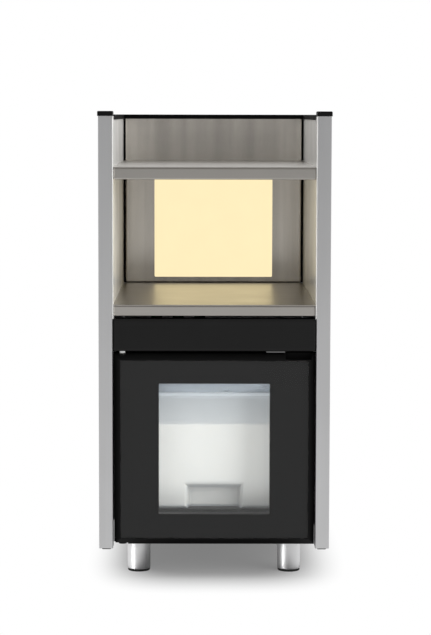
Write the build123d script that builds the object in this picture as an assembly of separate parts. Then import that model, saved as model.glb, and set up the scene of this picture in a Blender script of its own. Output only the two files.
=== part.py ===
from build123d import *
import math
import os

# Driving dimensions, in millimetres

# Case
case_width = 321.7  # over the outer faces of the side walls
case_depth = 450.0  # front of the front posts to the back of the rear posts
rear_wall = 50.0  # face of the back panel to the back of the rear posts
rear_recess = 10.8  # rear cover in from the back of the rear posts
foot_height = 51.4  # floor to the underside of the base pan
sheet = 1.2  # steel sheet of panels, rails and shelf frames
bend = 1.5  # inside radius of a bend in the sheet
fit = 0.3  # gap between pieces that are put together by hand
pin_play = 0.05  # radial gap of a pin or shaft in its hole
same = 0.001  # heights closer than this are level

# Posts, caps and plugs
post_width = 19.35
post_depth = 30.0
post_wall = 2.0
post_corner = 1.5
post_drop = 7.5  # the posts reach this far below the base pan
post_rise = 0.3  # the front posts stand this far above the wall panels
panel_lap = 12.0  # strip of the outer panel that lies in a post's rebate
cap_height = 6.8
cap_overhang = 1.0
cap_edge = 1.6
spigot_length = 12.0
spigot_wall = 1.6
spigot_round = 0.5
plug_stand = 2.0  # a plug stands this far out of the lower end of its post

# Heights, from the door up
door_drop = 2.5  # the door's lower edge hangs below the base pan
door_height = 268.5
fascia_height = 44.8
fascia_gap = 3.7  # between the fascia and the lower shelf
lower_lip = 14.4
upper_lip = 16.0
plate_thickness = 1.5
cup_space = 173.5  # lower shelf plate to the lip of the upper shelf
guard_height = 69.5  # upper shelf plate to the top of the wall panels

# Wall panels and trim
panel_flange = 12.0
panel_setback = 1.0  # inner panel behind the face of the post
panel_rear_gap = 3.0  # inner panel short of the back of the rear post
trim_height = 1.5
trim_leg = 5.0
trim_wall = 1.0
trim_edge = 0.8

# Back panel and its light
corner_gap = 3.0  # dark joint between the back panel and the side walls
corner_leg = 8.0  # depth of the black strip in that joint
panel_fold = 20.0
window_side = 45.3  # back panel left standing at each side of the light
window_head = 5.5  # light window below the upper lip
window_corner = 2.0
light_margin = 6.0  # the light tray reaches this far past its window
light_gap = 1.5  # light tray above the lower fold of the back panel
light_tray_depth = 17.0
diffuser = 3.0
board = 1.6
led_rows = 4
led_columns = 6
led_size = 3.5
led_height = 0.8
rail_height = 30.0

# Shelves
shelf_setback = 5.0  # shelf plate behind the face of the posts
lip_reveal = 1.2  # shelf plate stands this far in front of its lip
shelf_rear_gap = 0.6
lip_bend = 0.6  # inside radius of the bends in the frame
shelf_seat = 15.0  # width of the frame's flange under the plate
shelf_return = 10.0  # width of the frame's flange at the lower edge
plate_edge = 0.5
heater = 1.6
heater_margin = 4.0
rivet_inset = 60.0
rivet_radius = 2.4
rivet_head_radius = 3.8
rivet_head = 1.5

# Fascia and crossbar
fascia_side_gap = 0.3
fascia_wall = 2.5
fascia_round = 0.5  # inside radius, so the outside is rounder by the wall
fascia_depth = 26.0
crossbar_top_gap = 2.0

# Door
door_setback = 1.0  # door face behind the face of the posts
door_thickness = 30.0
bevel_width = 8.0
bevel_depth = 7.5
door_wall = 3.0
glass = 4.0
glass_land = 1.5  # flat of the frame between the bevel and the glass
border_side = 62.5  # door edge to the window
border_top = 41.7
border_bottom = 42.9
window_round = 1.5
pane_lap = 8.0
gasket_inset = 14.0
gasket_width = 12.0
gasket_depth = 4.7
gasket_round = 1.5

# Hinge, catch and finger pull
hinge_inset = 12.0  # hinge axis from the door's left edge
hinge_depth = 12.0  # hinge axis behind the door's face
swing_gap = 0.5  # between the swinging corner and the post
hinge_plate = 2.5
hinge_arm = 5.5  # half width of a hinge plate
hinge_gap = 0.9  # between a hinge plate and the door
pin_radius = 3.0
pin_length = 12.0  # reach of a hinge pin into its bush
bush_wall = 2.0
boss_wall = 2.5
catch_gap = 1.0  # between the catch plate and the finger pull
catch_width = 26.0
catch_thickness = 1.2
catch_setback = 2.0
pull_inset = 5.0
pull_width = 36.0
pull_depth = 20.0
pull_drop = 18.0
pull_wall = 2.0

# Cooler
bezel = 3.0
casing_gap = 0.7  # casing to the flanges of the base pan
pan_sheet = 1.5
pan_bend = 1.0
pan_flange = 20.0
insulation_side = 28.3
insulation_back = 36.8
insulation_top = 32.8
floor_rise = 42.5  # compartment floor above the door's lower edge
ceiling_drop = 26.0  # compartment ceiling below the door's top edge
compartment_depth = 216.0
liner_wall = 2.0
liner_corner = 10.0
cold_plate = 5.0
cold_plate_side = 33.0  # compartment wall to the cold plate
cold_plate_end = 40.0  # compartment floor or ceiling to the cold plate
rib_height = 8.0
rib_width = 2.0
rib_count = 12
cold_block = 50.0
module_side = 40.0
module_height = 4.0
sink_width = 140.0
sink_length = 120.0
sink_base = 6.0
fin_height = 30.0
fin_width = 1.6
fin_count = 18

# Fan
fan_size = 92.0
fan_depth = 25.0
fan_corner = 4.0
fan_rim = 1.8  # least wall between the fan's bore and its side
fan_screw_inset = 4.8
fan_screw = 2.2
blade_gap = 1.5
blade_count = 7
blade_thickness = 1.4
root_chord = 21.0
tip_chord = 28.0
root_pitch = 48.0
tip_pitch = 28.0
hub_radius = 19.0
hub_wall = 2.0
hub_gap = 1.0
shaft_radius = 2.0
bearing_wall = 3.0
strut_width = 5.0
strut_depth = 3.0

# Milk container and lid
container_side = 4.0  # compartment wall to the lid
container_front = 4.0  # bezel to the lid
container_back = 4.0  # ribs of the cold plate to the lid
headroom = 35.5  # container rim to the compartment ceiling
container_wall = 2.0
container_draft = 3.0
container_corner = 14.0
container_foot_round = 5.0
container_rim = 4.0
grip_width = 73.0
grip_height = 30.5
grip_depth = 22.0
grip_round = 4.0
grip_mouth = 4.5  # the grip widens by this much to each side at the front
lid = 2.5
lid_skirt = 2.0
lid_rib = 7.0
lid_wall = 1.5
lid_edge = 1.0
port_radius = 5.0
port_wall = 2.5
port_height = 6.0
port_inset = 45.5  # compartment wall to the port's axis

# Light in the compartment
lamp_inset = 28.0  # compartment wall to the end of the lamp
lamp_setback = 8.0
lamp_width = 12.0
lamp_height = 6.0
lamp_round = 1.5
lamp_offset = -13.5  # middle of the lenses from the middle of the compartment
lamp_pairs = 2
pair_pitch = 50.0
lens_pitch = 15.5
lamp_lens = 3.5
lamp_lens_height = 2.5

# Milk line
duct_radius = 7.0
duct_wall = 2.0
duct_flange = 5.0
duct_drop = 16.0  # duct axis below the compartment ceiling
duct_setback = 126.0  # duct axis behind the bezel
duct_reach = 2.0  # end of the duct inside the compartment

# Power
supply_width = 70.0
supply_length = 70.0
supply_height = 42.0
supply_gap = 8.0
supply_round = 2.0
supply_slots = 6
supply_slot_width = 2.0
supply_slot_depth = 1.0
terminal_length = 10.0
terminal_height = 14.0
terminal_ways = 5
control_width = 100.0
control_length = 70.0
control_spacer = 5.0
control_spacer_radius = 3.0
control_setback = 40.0  # control board ahead of the back of the casing
relay_count = 3
relay_size = 16.0
relay_round = 1.0
connector_count = 2
connector_width = 23.0
connector_depth = 8.0
connector_height = 9.0
component_margin = 10.0  # edge of the board to a component
inlet_offset = 45.0  # inlet axis from the edge of the rear cover
power_height = 60.0  # inlet and switch axes above the base pan
inlet_width = 27.0
inlet_height = 20.0
inlet_body = 20.0
inlet_lip = 2.2
inlet_flange = 3.0
inlet_wall = 1.8
inlet_corner = 4.0
inlet_pin_width = 2.0
inlet_pin_height = 4.0
inlet_pin_pitch = 7.0
inlet_earth_rise = 3.4
inlet_pin_recess = 3.0
inlet_tab = 8.0
switch_pitch = 40.0  # inlet axis to switch axis
switch_width = 13.4
switch_height = 21.0
switch_body = 16.0
switch_bezel = 2.0
switch_lip = 1.4
switch_wall = 1.2
rocker_tilt = 10.0
rocker_gap = 0.9  # rocker's end to its frame when level
rocker_dish = 1.6
rocker_stand = 2.0
rocker_root = 4.0
trunnion_radius = 1.5

# Feet
foot_radius = 16.3
foot_x_inset = 53.85
foot_y_inset = 66.0
foot_edge = 0.8
pad_height = 3.0
pad_seat = 2.0
pad_inset = 0.6
stud_radius = 4.0
stud_head = 6.0
stud_reach = 20.0

# Rear cover
vent_rows = 12
vent_pitch = 11.0
vent_height = 4.0
vent_length = 60.0
vent_columns = 3
vent_gap = 14.0
vent_foot = 110.0
upper_vent_rows = 5
upper_vent_drop = 50.0
screw_inset = 20.0
screw_radius = 2.0
screw_head_radius = 4.0
screw_head = 2.2
screw_length = 8.0
screw_socket = 1.2

# Places worked out from the sizes

half_width = case_width / 2
post_inside = half_width - post_width
lining = post_inside - sheet
front = -case_depth / 2
back = case_depth / 2
back_face = back - rear_wall
rear_face = back - rear_recess
rear_inside = rear_face - sheet
rail_half = lining - trim_wall - fit
cover_half = lining - fit
cover_foot_half = post_inside - fit

post_bottom = foot_height - post_drop
door_bottom = foot_height - door_drop
door_top = door_bottom + door_height
hinge_plate_low = door_top + hinge_gap
crossbar_bottom = hinge_plate_low + hinge_plate
fascia_bottom = crossbar_bottom + fit
fascia_top = fascia_bottom + fascia_height
lower_lip_bottom = fascia_top + fascia_gap
lower_plate_bottom = lower_lip_bottom + lower_lip
lower_plate_top = lower_plate_bottom + plate_thickness
upper_lip_bottom = lower_plate_top + cup_space
upper_plate_bottom = upper_lip_bottom + upper_lip
upper_plate_top = upper_plate_bottom + plate_thickness
wall_top = upper_plate_top + guard_height
post_top = wall_top + post_rise

shelf_half = lining - fit
shelf_front = front + shelf_setback
lip_front = shelf_front + lip_reveal
shelf_rear = back_face - shelf_rear_gap
rivet_rows = (lip_front + rivet_inset, shelf_rear - rivet_inset)

back_half = lining - corner_gap
light_half = back_half - window_side
light_bottom = lower_plate_top + fit + sheet + light_gap + light_margin
light_top = upper_lip_bottom - window_head

corner_depth = hinge_depth - bevel_depth
swing_reach = math.hypot(hinge_inset, corner_depth)
door_gap = swing_reach - hinge_inset + swing_gap
door_half = post_inside - door_gap
door_front = front + door_setback
door_back = door_front + door_thickness
hinge_x = hinge_inset - door_half
hinge_y = door_front + hinge_depth
window_half = door_half - border_side
window_bottom = door_bottom + border_bottom
window_top = door_top - border_top
glass_half = door_half - bevel_width - glass_land
glass_bottom = door_bottom + bevel_width + glass_land
glass_top = door_top - bevel_width - glass_land
web_back = door_front + glass + door_wall
liner_front = door_back - door_wall
pane_front = liner_front - glass
bush_radius = pin_radius + pin_play + bush_wall
boss_radius = bush_radius + pin_play + boss_wall
notch_top = foot_height + hinge_gap
notch_front = hinge_y - hinge_arm - hinge_gap
pull_right = door_half - pull_inset
pull_left = pull_right - pull_width

bezel_front = door_back + gasket_depth + fit
casing_front = bezel_front + bezel
casing_half = post_inside - fit - pan_sheet - casing_gap
casing_bottom = foot_height + pan_sheet
floor = door_bottom + floor_rise
ceiling = door_top - ceiling_drop
middle = (floor + ceiling) / 2
compartment_back = casing_front + compartment_depth
casing_back = compartment_back + liner_wall + insulation_back + sheet
casing_top = ceiling + liner_wall + insulation_top + sheet
liner_half = casing_half - sheet - insulation_side
compartment_half = liner_half - liner_wall
crossbar_front = door_front + fascia_depth

lid_overhang = container_rim + fit + lid_wall
box_half = compartment_half - container_side - lid_overhang
box_front = casing_front + container_front + lid_overhang
box_back = compartment_back - cold_plate - rib_height - container_back - lid_overhang
rim_top = ceiling - headroom
port_x = compartment_half - port_inset

duct_outer = duct_radius + duct_wall
duct_y = casing_front + duct_setback
duct_z = ceiling - duct_drop

sink_back = casing_back + sink_base + fin_height
fan_back = sink_back + fan_depth
fan_bore = fan_size / 2 - fan_rim

inlet_x = rail_half - inlet_offset
switch_x = inlet_x - switch_pitch
power_z = foot_height + power_height

screw_columns = (screw_inset - rail_half, 0.0, rail_half - screw_inset)
pan_screw_z = foot_height + pan_flange / 2
upper_screw_z = wall_top - rail_height / 2
lower_screw_z = lower_lip_bottom + rail_height / 2
foot_places = [
    (x * (half_width - foot_x_inset), y * (back - foot_y_inset))
    for x in (-1, 1)
    for y in (-1, 1)
]
foot_front = foot_y_inset - foot_radius + front


# Helpers


def span(low, high):
    """A block between two opposite corners."""
    size = [b - a for a, b in zip(low, high)]
    centre = [(a + b) / 2 for a, b in zip(low, high)]
    return Pos(*centre) * Box(*size)


def softened(low, high, radius, mouth=None):
    """A block with rounded edges, left sharp round the side that mouth points to."""
    block = span(low, high)
    edges = block.edges()
    if mouth:
        heights = [edge.center().dot(Vector(mouth)) for edge in edges]
        limit = max(heights) - same
        edges = [edge for edge, height in zip(edges, heights) if height < limit]
    return fillet(edges, radius)


def pan(low, high, wall, inside_radius, mouth):
    """Formed sheet: a box that is open on the side that mouth points to."""
    inner_low = [a - wall if m < 0 else a + wall for a, m in zip(low, mouth)]
    inner_high = [b + wall if m > 0 else b - wall for b, m in zip(high, mouth)]
    outer = softened(low, high, inside_radius + wall, mouth)
    return outer - softened(inner_low, inner_high, inside_radius, mouth)


def channel(low, high, wall, inside_radius, mouth, run):
    """Bent sheet of one section along the axis numbered run, with open ends."""
    spare = 2 * (wall + inside_radius)
    long_low = [a - spare if axis == run else a for axis, a in enumerate(low)]
    long_high = [b + spare if axis == run else b for axis, b in enumerate(high)]
    body = pan(long_low, long_high, wall, inside_radius, mouth)
    low_end = [b if axis == run else a for axis, (a, b) in enumerate(zip(long_high, low))]
    high_end = [b if axis == run else a for axis, (a, b) in enumerate(zip(long_low, high))]
    return body - span(long_low, low_end) - span(high_end, long_high)


def upright(sketch, y_front, y_back):
    """A sketch of X and Z made into a plate between two values of Y."""
    plane = Plane((0, y_back, 0), x_dir=(1, 0, 0), z_dir=(0, -1, 0))
    return extrude(plane * sketch, y_back - y_front)


def crosswise(sketch, x_left, x_right):
    """A sketch of Y and Z made into a bar between two values of X."""
    plane = Plane((x_left, 0, 0), x_dir=(0, 1, 0), z_dir=(1, 0, 0))
    return extrude(plane * sketch, x_right - x_left)


def area(left, right, low, high, corner=0.0):
    """A flat rectangle between its edges, with rounded corners if asked."""
    size = (right - left, high - low)
    shape = RectangleRounded(*size, corner) if corner else Rectangle(*size)
    return Pos((left + right) / 2, (low + high) / 2) * shape


def rod(start, end, radius):
    """A round bar between two points."""
    along = Vector(end) - Vector(start)
    bar = Cylinder(radius, along.length, align=(Align.CENTER, Align.CENTER, Align.MIN))
    return Plane(origin=start, z_dir=along) * bar


def both_sides(piece):
    """A piece and its mirror image across the middle of the case."""
    return [piece, mirror(piece, Plane.YZ)]


def spread(count, low, high):
    """Evenly spaced places from low to high."""
    return [low + (high - low) * index / (count - 1) for index in range(count)]


# Posts, caps and plugs


def post_hollow():
    """The inside of the right front post, as a flat shape."""
    return (
        post_inside + post_wall,
        half_width - sheet - post_wall,
        front + post_wall,
        front + post_depth - post_wall,
    )


def right_post(top):
    """The right front post: a hollow extrusion with a rebate for the outer panel."""
    outline = area(post_inside, half_width, front, front + post_depth)
    outline = fillet(outline.vertices().group_by(Axis.Y)[0], post_corner)
    rebate_front = front + post_depth - panel_lap
    rebate = area(half_width - sheet, half_width, rebate_front, front + post_depth)
    profile = outline - rebate - area(*post_hollow())
    return extrude(Plane.XY.offset(post_bottom) * profile, top - post_bottom)


def right_cap():
    """A black cap with a hollow spigot that pushes into the post."""
    low = (post_inside - cap_overhang, front - cap_overhang, post_top)
    high = (half_width + cap_overhang, front + post_depth + cap_overhang, post_top + cap_height)
    left, right, near, far = post_hollow()
    spigot_low = (left + fit, near + fit, post_top - spigot_length)
    spigot = pan(spigot_low, (right - fit, far - fit, post_top), spigot_wall, spigot_round, (0, 0, -1))
    return softened(low, high, cap_edge, (0, 0, -1)) + spigot


def right_plug():
    """A cup that closes the lower end of the post and stands a little out of it."""
    left, right, near, far = post_hollow()
    low = (left + fit, near + fit, post_bottom - plug_stand)
    high = (right - fit, far - fit, post_bottom + spigot_length)
    return pan(low, high, spigot_wall, spigot_round, (0, 0, 1))


# Side walls


def right_outer_panel():
    """Folded outer skin, with a plain strip at each end that lies in the posts."""
    fold_front = front + post_depth + fit
    low = (half_width - panel_flange, fold_front, post_bottom)
    panel = channel(low, (half_width, -fold_front, wall_top), sheet, bend, (-1, 0, 0), 1)
    lap_front = front + post_depth - panel_lap + fit
    for y_from, y_to in ((lap_front, fold_front), (-fold_front, -lap_front)):
        panel += span((half_width - sheet, y_from, post_bottom), (half_width, y_to, wall_top))
    return panel


def rivet_heights():
    """The heights of the rivets that carry the two shelf frames."""
    return (lower_lip_bottom + lower_lip / 2, upper_lip_bottom + upper_lip / 2)


def rivet_holes():
    """Bars through the shelf frames and the inner panels where the rivets go."""
    reach = half_width
    return [
        rod((-reach, y, z), (reach, y, z), rivet_radius + pin_play)
        for y in rivet_rows
        for z in rivet_heights()
    ]


def right_inner_panel():
    """Polished inner skin on the posts, from the fascia to the top of the wall."""
    low = (lining, front + panel_setback, fascia_top + fit)
    panel = span(low, (post_inside, back - panel_rear_gap, wall_top))
    panel = fillet(panel.edges().filter_by(Axis.Z).group_by(Axis.Y)[0], sheet / 3)
    return panel - rivet_holes()


def right_wall_trim():
    """Black profile over the top edges of both skins, closed at the back."""
    start = front + post_depth + cap_overhang + fit
    low = (lining - trim_wall, start, wall_top - trim_leg)
    high = (half_width + cap_overhang, back + cap_overhang, wall_top + trim_height)
    profile = span(low, high)
    profile = fillet(profile.edges().group_by(Axis.Z)[-1], trim_edge)
    return profile - span((lining, start, wall_top - trim_leg), (half_width, back, wall_top))


def rear_trim():
    """Black profile over the back panel and the rear cover, with a leg down each corner of the case."""
    low = (-rail_half, back_face - trim_wall, wall_top - trim_leg)
    high = (rail_half, rear_face + trim_wall, wall_top + trim_height)
    profile = span(low, high)
    profile = fillet(profile.edges().filter_by(Axis.X).group_by(Axis.Z)[-1], trim_edge)
    profile -= span((-rail_half, back_face, wall_top - trim_leg), (rail_half, rear_face, wall_top))
    return profile + both_sides(right_corner_leg())


def right_corner_leg():
    """Strip in the joint between back panel and wall, behind the panel's bend and below the wall trim."""
    low = (back_half, back_face + sheet + bend, lower_plate_top + fit)
    far = low[1] + corner_leg
    return span(low, (lining, far, wall_top - trim_leg - fit)) + span(low, (rail_half, far, wall_top))


# Back wall and its light


def back_panel():
    """Folded stainless panel with the window of the light."""
    low = (-back_half, back_face, lower_plate_top + fit)
    panel = pan(low, (back_half, back_face + panel_fold, wall_top), sheet, bend, (0, 1, 0))
    window = area(-light_half, light_half, light_bottom, light_top, window_corner)
    return panel - upright(window, back_face - sheet, back_face + 2 * sheet)


def light_box(inset):
    """The plan of the light tray, drawn in by an inset."""
    return (
        light_margin - inset + light_half,
        light_bottom - light_margin + inset,
        light_top + light_margin - inset,
    )


def light_tray():
    """White tray behind the window, open to the front."""
    half, low, high = light_box(0.0)
    near = back_face + sheet
    return pan((-half, near, low), (half, near + light_tray_depth, high), sheet, bend, (0, -1, 0))


def light_diffuser():
    """Opal sheet in the mouth of the tray, against the back panel."""
    half, low, high = light_box(sheet + fit)
    near = back_face + sheet
    return upright(area(-half, half, low, high, bend), near, near + diffuser)


def light_board():
    """Board on the floor of the tray, with rows of light chips."""
    half, low, high = light_box(sheet + bend + fit)
    far = back_face + light_tray_depth
    solids = [upright(area(-half, half, low, high), far - board, far)]
    edge = 3 * led_size
    for z in spread(led_rows, low + edge, high - edge):
        for x in spread(led_columns, edge - half, half - edge):
            chip_low = (x - led_size / 2, far - board - led_height, z - led_size / 2)
            chip_high = (x + led_size / 2, far - board, z + led_size / 2)
            solids.append(span(chip_low, chip_high))
    return solids


def rear_rail(z_low, screw_z):
    """Channel between the side walls that ties the back panel to the rear cover."""
    low = (-rail_half, back_face + panel_fold, z_low)
    rail = channel(low, (rail_half, rear_inside, z_low + rail_height), sheet, bend, (0, 0, -1), 0)
    return rail - screw_holes([screw_z])


def rear_screw_places(heights):
    """The places of the rear cover's screws at the given heights."""
    return [(x, z) for z in heights for x in screw_columns]


def screw_holes(heights):
    """Bars where the screws pass through the rear cover and what it is screwed to."""
    return [
        rod((x, rear_face - screw_length - fit, z), (x, rear_face + fit, z), screw_radius + pin_play)
        for x, z in rear_screw_places(heights)
    ]


def rear_screws():
    """Round-headed screws with a hexagon socket."""
    screws = []
    for x, z in rear_screw_places((pan_screw_z, lower_screw_z, upper_screw_z)):
        head = rod((x, rear_face, z), (x, rear_face + screw_head, z), screw_head_radius)
        head = fillet(head.edges().group_by(Axis.Y)[-1], screw_head / 2)
        socket = Pos(x, z) * RegularPolygon(screw_radius, 6)
        head -= upright(socket, rear_face + screw_head - screw_socket, rear_face + screw_head)
        screws.append(head + rod((x, rear_face - screw_length, z), (x, rear_face, z), screw_radius))
    return screws


def vents(rows, z_low):
    """Rows of slots with round ends."""
    step = vent_length + vent_gap
    columns = [(index - (vent_columns - 1) / 2) * step for index in range(vent_columns)]
    return [
        Pos(x, z_low + row * vent_pitch) * SlotOverall(vent_length, vent_height)
        for row in range(rows)
        for x in columns
    ]


def rear_cover():
    """Flat cover with slots, wider below the inner panels, screwed to the base pan and the rear rails."""
    outline = area(-cover_half, cover_half, foot_height, wall_top)
    outline += area(-cover_foot_half, cover_foot_half, foot_height, fascia_top)
    for left, right in ((-cover_half, -rail_half), (rail_half, cover_half)):
        outline -= area(left, right, wall_top - trim_leg - fit, wall_top)
    for slot in vents(vent_rows, foot_height + vent_foot):
        outline -= slot
    upper_low = wall_top - upper_vent_drop - (upper_vent_rows - 1) * vent_pitch
    for slot in vents(upper_vent_rows, upper_low):
        outline -= slot
    outline -= Pos(inlet_x, power_z) * Rectangle(inlet_width + 2 * fit, inlet_height + 2 * fit)
    outline -= Pos(switch_x, power_z) * Rectangle(switch_width + 2 * fit, switch_height + 2 * fit)
    cover = upright(outline, rear_inside, rear_face)
    return cover - screw_holes((pan_screw_z, lower_screw_z, upper_screw_z))


# Base and feet


def base_pan():
    """Floor of the case: a pan between the posts, open to the front, with holes for the foot studs."""
    half = post_inside - fit
    low = (-half, casing_front - pan_flange, foot_height)
    high = (half, rear_inside, foot_height + pan_flange)
    floor_pan = pan(low, high, pan_sheet, pan_bend, (0, 0, 1))
    floor_pan -= span(low, (half, casing_front, foot_height + pan_flange))
    for x, y in foot_places:
        hole_low = (x, y, foot_height - fit)
        floor_pan -= rod(hole_low, (x, y, foot_height + pan_sheet + fit), stud_head + pin_play)
    return floor_pan - screw_holes([pan_screw_z])


def foot(x, y):
    """Aluminium sleeve with a seat for the pad and a hole for the stud."""
    sleeve = rod((x, y, pad_height), (x, y, foot_height), foot_radius)
    ends = sleeve.edges().filter_by(GeomType.CIRCLE)
    sleeve = chamfer(ends, foot_edge)
    seat_radius = foot_radius - 2 * pad_inset
    sleeve -= rod((x, y, 0), (x, y, pad_height + pad_seat), seat_radius)
    return sleeve - rod((x, y, foot_height - stud_reach), (x, y, foot_height), stud_radius + pin_play)


def foot_pad(x, y):
    """Rubber pad that stands on the floor and pushes into the sleeve."""
    pad = rod((x, y, 0), (x, y, pad_height), foot_radius - pad_inset)
    pad = chamfer(pad.edges().group_by(Axis.Z)[0], foot_edge)
    top = (x, y, pad_height + pad_seat)
    return pad + rod((x, y, pad_height), top, foot_radius - 2 * pad_inset - fit)


def foot_stud(x, y):
    """Stud with a flat head that lies flush in the floor of the base pan."""
    head = rod((x, y, foot_height), (x, y, foot_height + pan_sheet), stud_head)
    return head + rod((x, y, foot_height - stud_reach + fit), (x, y, foot_height), stud_radius)


# Shelves


def shelf_plate(z_low):
    """Flat heated plate with softened edges."""
    low = (-shelf_half, shelf_front, z_low)
    return softened(low, (shelf_half, shelf_rear, z_low + plate_thickness), plate_edge)


def shelf_frame(z_low, lip):
    """Folded frame: a lip all round, a seat for the plate and a return at the lower edge."""
    z_high = z_low + lip
    low = (-shelf_half, lip_front, z_low)
    high = (shelf_half, shelf_rear, z_high)
    inner_low = [a + sheet for a in low]
    inner_high = [b - sheet for b in high]
    frame = softened(low, high, lip_bend + sheet) - softened(inner_low, inner_high, lip_bend)
    for margin, z_from, z_to in (
        (shelf_seat, z_high - sheet - lip_bend, z_high),
        (shelf_return, z_low, z_low + sheet + lip_bend),
    ):
        hole_low = (margin - shelf_half, lip_front + margin, z_from)
        frame -= span(hole_low, (shelf_half - margin, shelf_rear - margin, z_to))
    return frame - rivet_holes()


def shelf_cover():
    """Sheet on the returns of the upper frame that closes it from below."""
    inset = sheet + lip_bend + fit
    low = (inset - shelf_half, lip_front + inset, upper_lip_bottom + sheet)
    return span(low, (shelf_half - inset, shelf_rear - inset, upper_lip_bottom + 2 * sheet))


def heater_mat(plate_bottom):
    """Heating mat on the underside of a plate, inside its frame."""
    inset = shelf_seat + heater_margin
    plan = area(inset - shelf_half, shelf_half - inset, lip_front + inset, shelf_rear - inset, heater_margin)
    return extrude(Plane.XY.offset(plate_bottom - heater) * plan, heater)


def shelf_rivets():
    """Rivets through the side of each frame and the inner panel."""
    inner = shelf_half - sheet
    rivets = []
    for y in rivet_rows:
        for z in rivet_heights():
            shank = rod((inner, y, z), (post_inside, y, z), rivet_radius)
            inner_head = rod((inner - rivet_head, y, z), (inner, y, z), rivet_head_radius)
            outer_head = rod((post_inside, y, z), (post_inside + rivet_head, y, z), rivet_head_radius)
            rivets += both_sides(shank + inner_head + outer_head)
    return rivets


# Fascia and crossbar


def fascia():
    """Moulded black front, open to the back."""
    half = post_inside - fascia_side_gap
    low = (-half, door_front, fascia_bottom)
    return pan(low, (half, crossbar_front, fascia_top), fascia_wall, fascia_round, (0, 1, 0))


def front_crossbar():
    """Channel between the front posts that carries the fascia and the hinge."""
    half = post_inside - fit
    low = (-half, crossbar_front, crossbar_bottom)
    high = (half, casing_front, fascia_top - crossbar_top_gap)
    return channel(low, high, sheet, bend, (0, 1, 0), 0)


# Door


def bevelled_block():
    """The outside of the door: a slab whose front edges are bevelled and mitred."""
    height = door_height
    centre_z = (door_bottom + door_top) / 2
    face = Pos(0, centre_z) * Rectangle(2 * (door_half - bevel_width), height - 2 * bevel_width)
    full = Pos(0, centre_z) * Rectangle(2 * door_half, height)
    planes = [
        Plane((0, y, 0), x_dir=(1, 0, 0), z_dir=(0, -1, 0))
        for y in (door_front, door_front + bevel_depth)
    ]
    bevel = loft([planes[0] * face, planes[1] * full])
    return bevel + upright(full, door_front + bevel_depth, door_back)


def hinge_bosses():
    """Bosses in the door round the two hinge bushes."""
    depth = pin_length + boss_wall
    upper = rod((hinge_x, hinge_y, door_top - depth), (hinge_x, hinge_y, door_top), boss_radius)
    lower = rod((hinge_x, hinge_y, notch_top), (hinge_x, hinge_y, notch_top + depth), boss_radius)
    return upper + lower


def bush_ends():
    """The lower ends of the two hinge bushes."""
    return (notch_top, door_top - pin_length)


def door_frame():
    """Moulded frame: bevelled front, rebate for the glass, window and hollow back."""
    frame = bevelled_block()
    rim = area(door_wall - door_half, door_half - door_wall, door_bottom + door_wall, door_top - door_wall)
    tube_half = window_half + door_wall
    tube = area(-tube_half, tube_half, window_bottom - door_wall, window_top + door_wall, window_round)
    frame -= upright(rim - tube, web_back, door_back)
    frame -= upright(tube, pane_front, door_back)
    rebate = area(-glass_half - fit, glass_half + fit, glass_bottom - fit, glass_top + fit)
    frame -= upright(rebate, door_front - fit, door_front + glass)
    window = area(-window_half, window_half, window_bottom, window_top, window_round)
    frame -= upright(window, door_front, door_back)
    pull_back = door_front + pull_depth
    pull_floor = door_top - pull_drop
    pull_front = web_back + pull_wall
    shell_low = (pull_left - pull_wall, web_back, pull_floor - pull_wall)
    frame += span(shell_low, (pull_right + pull_wall, pull_back + pull_wall, door_top))
    frame -= span((pull_left, pull_front, pull_floor), (pull_right, pull_back, door_top))
    frame -= span((pull_left, door_front, door_top - bevel_width), (pull_right, pull_front, door_top))
    frame += hinge_bosses()
    for z in bush_ends():
        bottom = (hinge_x, hinge_y, z)
        frame -= rod(bottom, (hinge_x, hinge_y, z + pin_length), bush_radius + pin_play)
    notch_low = (-door_half, notch_front, door_bottom)
    return frame - span(notch_low, (hinge_x + boss_radius, door_back, notch_top))


def door_glass():
    """Front glass, flush in its rebate."""
    plate = area(-glass_half, glass_half, glass_bottom, glass_top)
    return upright(plate, door_front, door_front + glass)


def door_liner():
    """Inner face of the door, inside the frame's rim, with the window cut out."""
    inset = door_wall + fit
    plate = area(inset - door_half, door_half - inset, door_bottom + inset, door_top - inset)
    plate -= area(-window_half, window_half, window_bottom, window_top, window_round)
    return upright(plate, liner_front, door_back)


def door_inner_pane():
    """Second pane, between the frame's window tube and the liner."""
    half = window_half + pane_lap
    plate = area(-half, half, window_bottom - pane_lap, window_top + pane_lap, window_round)
    return upright(plate, pane_front, liner_front)


def door_gasket():
    """Seal on the door's liner, to the right of the hinge axis all round."""
    half = door_half - gasket_inset
    low = door_bottom + gasket_inset
    high = door_top - gasket_inset
    inner = half - gasket_width
    ring = area(-half, half, low, high, 2 * gasket_round)
    ring -= area(-inner, inner, low + gasket_width, high - gasket_width, gasket_round)
    seal = upright(ring, door_back, door_back + gasket_depth)
    return fillet(seal.edges().group_by(Axis.Y)[-1], gasket_round)


def hinge_bush(z):
    """Plain bush for a hinge pin."""
    ends = ((hinge_x, hinge_y, z), (hinge_x, hinge_y, z + pin_length))
    return rod(*ends, bush_radius) - rod(*ends, pin_radius + pin_play)


def hinge_pins():
    """The upper pin hangs from its plate, the lower one stands in its own."""
    upper_top = crossbar_bottom
    upper = rod((hinge_x, hinge_y, door_top - pin_length), (hinge_x, hinge_y, upper_top), pin_radius)
    lower_low = (hinge_x, hinge_y, foot_height - hinge_plate)
    lower = rod(lower_low, (hinge_x, hinge_y, notch_top + pin_length), pin_radius)
    return [upper, lower]


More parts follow.
